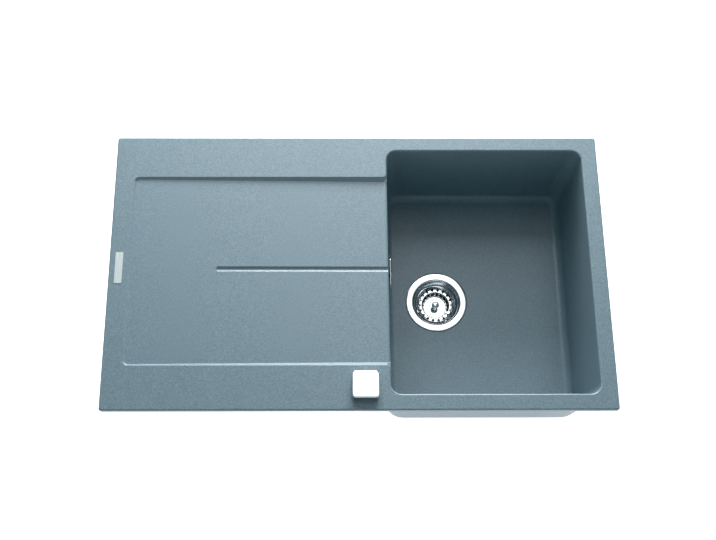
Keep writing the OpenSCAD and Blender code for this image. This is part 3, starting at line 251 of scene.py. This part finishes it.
# Slow drift of the pigment over some centimetres
drift = add_node(granite, "ShaderNodeTexNoise", {"noise_dimensions": "3D"}, Vector=(place, "Object"),
                 Scale=22.0, Detail=2.0, Roughness=0.5)
drift_tones = add_node(granite, "ShaderNodeMapRange", Value=(drift, "Fac"), To_Min=0.96, To_Max=1.04)
stone_colour = add_node(granite, "ShaderNodeMix", {"data_type": "RGBA", "blend_type": "MULTIPLY"},
                        i0=1.0, i6=(grain_tones, "Color"), i7=(drift_tones, "Result"))
stone_bump = add_node(granite, "ShaderNodeBump", Height=(grains, "Fac"), Strength=0.25, Distance=0.0003)
stone = add_node(granite, "ShaderNodeBsdfPrincipled", Base_Color=(stone_colour, 2), Roughness=0.41,
                 Specular_IOR_Level=1.0, Normal=(stone_bump, "Normal"))
add_node(granite, "ShaderNodeOutputMaterial", Surface=(stone, "BSDF"))

dress("sink_body", "granite_casting", granite, "sink", bevel=0.0004)


# Name plate. A strip of brushed stainless steel 0.8 mm thick, stamped out with rounded corners and
# glued to the left of the deck. It is bare, and its fine grain runs along its length.
brushed = new_material("brushed stainless steel strip")
place = add_node(brushed, "ShaderNodeTexCoord")
# Brush lines 0.1 mm apart, drawn at 0.5 mm so that they show, and 25 mm long
along = add_node(brushed, "ShaderNodeMapping", Vector=(place, "Object"), Scale=(1.0, 0.02, 1.0))
lines = add_node(brushed, "ShaderNodeTexNoise", {"noise_dimensions": "3D"}, Vector=(along, "Vector"),
                 Scale=2000.0, Detail=2.0, Roughness=0.5)
line_tones = add_node(brushed, "ShaderNodeValToRGB", Fac=(lines, "Fac"))
line_tones.color_ramp.elements[0].position = 0.3
line_tones.color_ramp.elements[0].color = colour("#c8d0cc")
line_tones.color_ramp.elements[1].position = 0.7
line_tones.color_ramp.elements[1].color = colour("#dfe6e1")
line_bump = add_node(brushed, "ShaderNodeBump", Height=(lines, "Fac"), Strength=0.15, Distance=0.00005)
strip = add_node(brushed, "ShaderNodeBsdfPrincipled", Base_Color=(line_tones, "Color"), Metallic=1.0,
                 Roughness=0.48, Normal=(line_bump, "Normal"))
add_node(brushed, "ShaderNodeOutputMaterial", Surface=(strip, "BSDF"))

dress("name_plate", "name_plate_strip", brushed, "sink", bevel=0.0002)


# Waste flange. Stainless steel sheet 1 mm thick, drawn into a rolled rim, the strainer's well and a
# slotted throat, and polished on the lathe. It is clamped to the bowl's floor, on a rubber gasket.
waste_axis = (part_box("waste_flange")[0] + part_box("waste_flange")[1]) / 2
polished = new_material("stainless steel, drawn and polished")
place = add_node(polished, "ShaderNodeTexCoord")
centred = add_node(polished, "ShaderNodeMapping", Vector=(place, "Object"),
                   Location=(-waste_axis.x, -waste_axis.y, 0.0))
# Polishing rings 0.1 mm apart, drawn at 0.8 mm so that they show
rings = add_node(polished, "ShaderNodeTexWave", {"wave_type": "RINGS", "rings_direction": "Z"},
                 Vector=(centred, "Vector"), Scale=390.0, Distortion=0.6, Detail=1.0)
# Haze that the polishing mop leaves, in patches of some 17 mm
haze = add_node(polished, "ShaderNodeTexNoise", {"noise_dimensions": "3D"}, Vector=(place, "Object"),
                Scale=60.0, Detail=2.0, Roughness=0.5)
haze_roughness = add_node(polished, "ShaderNodeMapRange", Value=(haze, "Fac"), To_Min=0.08, To_Max=0.16)
ring_bump = add_node(polished, "ShaderNodeBump", Height=(rings, "Fac"), Strength=0.06, Distance=0.00005)
bright_steel = add_node(polished, "ShaderNodeBsdfPrincipled", Base_Color=colour("#dfe2e3"), Metallic=1.0,
                        Roughness=(haze_roughness, "Result"), Normal=(ring_bump, "Normal"))
add_node(polished, "ShaderNodeOutputMaterial", Surface=(bright_steel, "BSDF"))

dress("waste_flange", "drawn_waste_flange", polished, "sink")


# Seals. Rings of black nitrile rubber, moulded, between the flange and the floor, under the floor, at
# the overflow's joints, round the lever's axle and under the deck. Dull, and dusty where they show.
rubber = new_material("black nitrile rubber, moulded")
place = add_node(rubber, "ShaderNodeTexCoord")
# Bloom on the rubber in patches some 4 mm wide
bloom = add_node(rubber, "ShaderNodeTexNoise", {"noise_dimensions": "3D"}, Vector=(place, "Object"),
                 Scale=250.0, Detail=3.0, Roughness=0.6)
bloom_tones = add_node(rubber, "ShaderNodeValToRGB", Fac=(bloom, "Fac"))
bloom_tones.color_ramp.elements[0].position = 0.35
bloom_tones.color_ramp.elements[0].color = colour("#191a1b")
bloom_tones.color_ramp.elements[1].position = 0.75
bloom_tones.color_ramp.elements[1].color = colour("#2c2e2f")
bloom_bump = add_node(rubber, "ShaderNodeBump", Height=(bloom, "Fac"), Strength=0.2, Distance=0.0001)
seal_rubber = add_node(rubber, "ShaderNodeBsdfPrincipled", Base_Color=(bloom_tones, "Color"), Roughness=0.78,
                       Normal=(bloom_bump, "Normal"))
add_node(rubber, "ShaderNodeOutputMaterial", Surface=(seal_rubber, "BSDF"))

for node in ("flange_gasket", "body_gasket", "overflow_gasket", "upper_pipe_seal", "lower_pipe_seal",
             "axle_seals", "control_gasket"):
    dress(node, node + "_ring", rubber, "sink", bevel=0.0003)


# Waste body and outlet. Black polypropylene, injection moulded with a fine spark-eroded grain, in two
# pieces with the outlet screwed into the body. The outlet has a 1 1/2 inch pipe thread, 11 to the inch.
moulded = new_material("black polypropylene, spark-eroded grain")
place = add_node(moulded, "ShaderNodeTexCoord")
# Grain pits of 0.2 mm, drawn at 0.8 mm so that they show
pits = add_node(moulded, "ShaderNodeTexNoise", {"noise_dimensions": "3D"}, Vector=(place, "Object"),
                Scale=1200.0, Detail=2.0, Roughness=0.55)
# Flow marks from the moulding, some 30 mm long
flow = add_node(moulded, "ShaderNodeTexNoise", {"noise_dimensions": "3D"}, Vector=(place, "Object"),
                Scale=35.0, Detail=2.0, Roughness=0.5)
flow_tones = add_node(moulded, "ShaderNodeValToRGB", Fac=(flow, "Fac"))
flow_tones.color_ramp.elements[0].position = 0.3
flow_tones.color_ramp.elements[0].color = colour("#1f2123")
flow_tones.color_ramp.elements[1].position = 0.7
flow_tones.color_ramp.elements[1].color = colour("#2a2d2f")
pit_bump = add_node(moulded, "ShaderNodeBump", Height=(pits, "Fac"), Strength=0.3, Distance=0.0001)
black_moulding = add_node(moulded, "ShaderNodeBsdfPrincipled", Base_Color=(flow_tones, "Color"),
                          Roughness=0.42, Normal=(pit_bump, "Normal"))
add_node(moulded, "ShaderNodeOutputMaterial", Surface=(black_moulding, "BSDF"))


def turn_down(piece, axis_x, axis_y, low, high, from_r, to_r):
    """Draws the outside of a shaft between two heights in from one radius to a smaller one."""
    slack = 0.015
    pick(piece)
    bpy.ops.object.mode_set(mode="EDIT")
    bpy.ops.mesh.select_mode(type="VERT")
    bpy.ops.mesh.select_all(action="DESELECT")
    bpy.ops.object.mode_set(mode="OBJECT")
    for v in piece.data.vertices:
        r = math.hypot(v.co.x - axis_x, v.co.y - axis_y)
        v.select = low < v.co.z < high and abs(r - from_r) < slack * from_r
    bpy.ops.object.mode_set(mode="EDIT")
    share = to_r / from_r
    bpy.ops.transform.resize(value=(share, share, 1.0), center_override=(axis_x, axis_y, 0.0))
    bpy.ops.object.mode_set(mode="OBJECT")


def thread(name, material, body, foot, core_r, crest_r, pitch, turns, steps):
    """A ridge that winds round an upright shaft from its foot upwards, with closed ends."""
    # Half the ridge's width at its foot, as a share of the pitch
    half_width = 0.47
    bpy.ops.object.select_all(action="DESELECT")
    bpy.ops.mesh.primitive_circle_add(vertices=3, radius=0.001, fill_type="NOTHING")
    ridge = bpy.context.object
    ridge.name = name
    corners = ((core_r, -half_width), (crest_r, 0.0), (core_r, half_width))
    for v, (r, part) in zip(ridge.data.vertices, corners):
        v.co = (r, 0.0, part * pitch)
    winding = ridge.modifiers.new("winding", "SCREW")
    winding.axis = "Z"
    winding.screw_offset = pitch
    winding.iterations = turns
    winding.steps = winding.render_steps = steps
    bpy.ops.object.modifier_apply(modifier=winding.name)
    bpy.ops.object.mode_set(mode="EDIT")
    bpy.ops.mesh.select_all(action="SELECT")
    bpy.ops.mesh.fill_holes(sides=3)
    bpy.ops.mesh.normals_make_consistent(inside=False)
    bpy.ops.mesh.select_all(action="SELECT")
    bpy.ops.transform.translate(value=foot)
    bpy.ops.object.mode_set(mode="OBJECT")
    bpy.ops.object.shade_smooth_by_angle(angle=math.radians(40))
    ridge.data.materials.append(material)
    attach(ridge, body)


dress("waste_body", "moulded_waste_body", moulded, "sink", bevel=0.0004)
outlet = dress("waste_outlet", "threaded_outlet", moulded, "sink", bevel=0.0003)
outlet_r = 0.0239
outlet_core_r = 0.0225
outlet_threaded = 0.0185
outlet_pitch = 0.002309
outlet_turns = 6
# The ridge's foot lies this far inside the core, and the stretch drawn in reaches this far past its end
ridge_sunk = 0.00005
past_end = 0.001
outlet_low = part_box("waste_outlet")[0].z
# The lowest ridge is centred 0.6 of the pitch above the outlet's end
outlet_thread_foot = (waste_axis.x, waste_axis.y, outlet_low + 0.6 * outlet_pitch)
turn_down(outlet, waste_axis.x, waste_axis.y, outlet_low - past_end, outlet_low + outlet_threaded, outlet_r,
          outlet_core_r)
thread("outlet_thread", moulded, "sink", outlet_thread_foot, outlet_core_r - ridge_sunk,
       outlet_r, outlet_pitch, outlet_turns, steps=72)


# Strainer basket. Stainless steel 0.8 mm thick, pressed and pierced. The turned knob's spigot passes
# through it, and a brass stem screwed on from below holds the rubber seal and rests on the lift pin.
dress("basket", "pierced_basket", polished, "strainer")
dress("basket_knob", "turned_basket_knob", polished, "strainer", sharp=50.0)
turned_brass = new_material("brass, turned")
place = add_node(turned_brass, "ShaderNodeTexCoord")
# Tarnish in patches of some 3 mm
tarnish = add_node(turned_brass, "ShaderNodeTexNoise", {"noise_dimensions": "3D"}, Vector=(place, "Object"),
                   Scale=320.0, Detail=3.0, Roughness=0.6)
tarnish_tones = add_node(turned_brass, "ShaderNodeValToRGB", Fac=(tarnish, "Fac"))
tarnish_tones.color_ramp.elements[0].position = 0.3
tarnish_tones.color_ramp.elements[0].color = colour("#a8854a")
tarnish_tones.color_ramp.elements[1].position = 0.7
tarnish_tones.color_ramp.elements[1].color = colour("#c9a765")
tarnish_roughness = add_node(turned_brass, "ShaderNodeMapRange", None, Value=(tarnish, "Fac"),
                             To_Min=0.24, To_Max=0.38)
yellow_metal = add_node(turned_brass, "ShaderNodeBsdfPrincipled", Base_Color=(tarnish_tones, "Color"),
                        Metallic=1.0, Roughness=(tarnish_roughness, "Result"))
add_node(turned_brass, "ShaderNodeOutputMaterial", Surface=(yellow_metal, "BSDF"))
dress("basket_stem", "turned_stem", turned_brass, "strainer", bevel=0.0002)
dress("basket_seal", "moulded_basket_seal", rubber, "strainer", bevel=0.0003)


# Lift. A steel pin slides in the hollow clamp bolt, a plastic finger on a steel axle pushes it up, and
# the crank on the axle's end is pulled by the cable, whose sleeve ends in a brass gland.
plain_steel = new_material("stainless steel, turned and cut")
place = add_node(plain_steel, "ShaderNodeTexCoord")
# Cutting marks of 0.1 mm, drawn at 1 mm so that they show
cuts = add_node(plain_steel, "ShaderNodeTexNoise", {"noise_dimensions": "3D"}, Vector=(place, "Object"),
                Scale=1000.0, Detail=2.0, Roughness=0.5)
cut_roughness = add_node(plain_steel, "ShaderNodeMapRange", Value=(cuts, "Fac"), To_Min=0.22, To_Max=0.36)
cut_bump = add_node(plain_steel, "ShaderNodeBump", Height=(cuts, "Fac"), Strength=0.1, Distance=0.00005)
satin_steel = add_node(plain_steel, "ShaderNodeBsdfPrincipled", Base_Color=colour("#c6c9ca"), Metallic=1.0,
                       Roughness=(cut_roughness, "Result"), Normal=(cut_bump, "Normal"))
add_node(plain_steel, "ShaderNodeOutputMaterial", Surface=(satin_steel, "BSDF"))

pale_moulding = new_material("grey polypropylene, moulded")
place = add_node(pale_moulding, "ShaderNodeTexCoord")
# Cloudiness of the pale resin over some 20 mm
clouds = add_node(pale_moulding, "ShaderNodeTexNoise", {"noise_dimensions": "3D"}, Vector=(place, "Object"),
                  Scale=50.0, Detail=3.0, Roughness=0.5)
cloud_tones = add_node(pale_moulding, "ShaderNodeValToRGB", Fac=(clouds, "Fac"))
cloud_tones.color_ramp.elements[0].position = 0.3
cloud_tones.color_ramp.elements[0].color = colour("#c6c8c5")
cloud_tones.color_ramp.elements[1].position = 0.7
cloud_tones.color_ramp.elements[1].color = colour("#d6d7d3")
# Mould grain of 0.3 mm, drawn at 1 mm so that it shows
skin = add_node(pale_moulding, "ShaderNodeTexNoise", {"noise_dimensions": "3D"}, Vector=(place, "Object"),
                Scale=1000.0, Detail=1.0, Roughness=0.5)
skin_bump = add_node(pale_moulding, "ShaderNodeBump", Height=(skin, "Fac"), Strength=0.12, Distance=0.0001)
pale_resin = add_node(pale_moulding, "ShaderNodeBsdfPrincipled", Base_Color=(cloud_tones, "Color"),
                      Roughness=0.36, Normal=(skin_bump, "Normal"))
add_node(pale_moulding, "ShaderNodeOutputMaterial", Surface=(pale_resin, "BSDF"))

dress("clamp_bolt", "hollow_clamp_bolt", plain_steel, "sink", bevel=0.0003)
dress("lift_pin", "sliding_lift_pin", plain_steel, "pin", bevel=0.0003)
dress("lift_finger", "moulded_lift_finger", pale_moulding, "lever", bevel=0.0003)
dress("lever_axle", "turned_lever_axle", plain_steel, "lever", bevel=0.0003)
dress("lever_crank", "pressed_lever_crank", plain_steel, "lever", bevel=0.0003)
dress("waste_cable_gland", "brass_waste_gland", turned_brass, "sink", bevel=0.0002)


# Overflow. A satin cover plate of stainless steel stands off the bowl's wall. Its screw draws it to the
# moulded elbow behind the wall, and a grey pipe with two ribbed nuts leads from there to the waste body.
dress("overflow_cover", "overflow_cover_plate", plain_steel, "sink", bevel=0.0003)
dress("overflow_screw", "slotted_overflow_screw", plain_steel, "sink", bevel=0.0002)
dress("overflow_elbow", "moulded_overflow_elbow", moulded, "sink", bevel=0.0004)
dress("overflow_pipe", "extruded_overflow_pipe", pale_moulding, "sink", bevel=0.0003)
for node in ("upper_pipe_nut", "lower_pipe_nut"):
    dress(node, "ribbed_" + node, pale_moulding, "sink", bevel=0.0003)


# Control. Under the deck a black housing with a lid and three screws holds the cable drum on a brass
# spindle. A chromed nut clamps it from above, and the square chromed knob is pressed on the spindle.
plated = new_material("bright chrome plate")
place = add_node(plated, "ShaderNodeTexCoord")
# Slight unevenness of the plating over some 10 mm
swell = add_node(plated, "ShaderNodeTexNoise", {"noise_dimensions": "3D"}, Vector=(place, "Object"),
                 Scale=90.0, Detail=2.0, Roughness=0.5)
swell_roughness = add_node(plated, "ShaderNodeMapRange", Value=(swell, "Fac"), To_Min=0.05, To_Max=0.10)
mirror_metal = add_node(plated, "ShaderNodeBsdfPrincipled", Base_Color=colour("#eef0f1"), Metallic=1.0,
                        Roughness=(swell_roughness, "Result"))
add_node(plated, "ShaderNodeOutputMaterial", Surface=(mirror_metal, "BSDF"))

dress("control_housing", "moulded_control_housing", moulded, "sink", bevel=0.0004)
dress("housing_lid", "moulded_housing_lid", moulded, "sink", bevel=0.0003)
dress("lid_screws", "cross_head_lid_screws", plain_steel, "sink", bevel=0.0001)
dress("control_ring_nut", "chromed_ring_nut", plated, "sink")
dress("control_cable_gland", "brass_control_gland", turned_brass, "sink", bevel=0.0002)
dress("control_spindle", "turned_control_spindle", turned_brass, "control", bevel=0.0002)
dress("cable_drum", "moulded_cable_drum", pale_moulding, "control", bevel=0.0002)
dress("drum_screw", "cross_head_drum_screw", plain_steel, "control", bevel=0.0001)
dress("knob_cap", "chromed_knob_cap", plated, "control", sharp=40.0)


# Fixing clips. Brass inserts moulded into the casting take long steel screws with a cross head, and
# each screw pulls a bent steel claw up against the worktop's underside. The steel is zinc plated.
zinc = new_material("zinc plate on steel")
place = add_node(zinc, "ShaderNodeTexCoord")
# Spangle and passivation in patches of some 5 mm
spangle = add_node(zinc, "ShaderNodeTexNoise", {"noise_dimensions": "3D"}, Vector=(place, "Object"),
                   Scale=200.0, Detail=4.0, Roughness=0.6)
spangle_tones = add_node(zinc, "ShaderNodeValToRGB", Fac=(spangle, "Fac"))
spangle_tones.color_ramp.elements[0].position = 0.3
spangle_tones.color_ramp.elements[0].color = colour("#9fa5a9")
spangle_tones.color_ramp.elements[1].position = 0.7
spangle_tones.color_ramp.elements[1].color = colour("#c3c6c4")
spangle_roughness = add_node(zinc, "ShaderNodeMapRange", Value=(spangle, "Fac"), To_Min=0.3, To_Max=0.46)
grey_metal = add_node(zinc, "ShaderNodeBsdfPrincipled", Base_Color=(spangle_tones, "Color"), Metallic=1.0,
                      Roughness=(spangle_roughness, "Result"))
add_node(zinc, "ShaderNodeOutputMaterial", Surface=(grey_metal, "BSDF"))

dress("clip_inserts", "brass_clip_inserts", turned_brass, "sink")
clip_screws = dress("clip_screws", "threaded_clip_screws", zinc, "sink", bevel=0.0002)
screw_r = 0.002
screw_core_r = 0.00165
screw_pitch = 0.0007
screw_turns = 52
# Heights above the screw's lowest point. The head, 2.4 mm high, is at the bottom. The core is drawn in
# from just inside the head, and the thread starts 1 mm above it.
core_from = 0.0022
thread_from = 0.0034
screw_low, screw_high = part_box("clip_screws")
for joint in frame["joints"]:
    if joint["name"].startswith("clip_"):
        screw_x, screw_y = joint["pos_m"][:2]
        turn_down(clip_screws, screw_x, screw_y, screw_low.z + core_from, screw_high.z + past_end, screw_r,
                  screw_core_r)
        thread("thread_of_" + joint["child"], zinc, "sink",
               (screw_x, screw_y, screw_low.z + thread_from), screw_core_r - ridge_sunk, screw_r,
               screw_pitch, screw_turns, steps=16)
        dress(joint["child"].replace("clip_", "clip_claw_"), "bent_claw_of_" + joint["child"], zinc,
              joint["child"], bevel=0.0002)
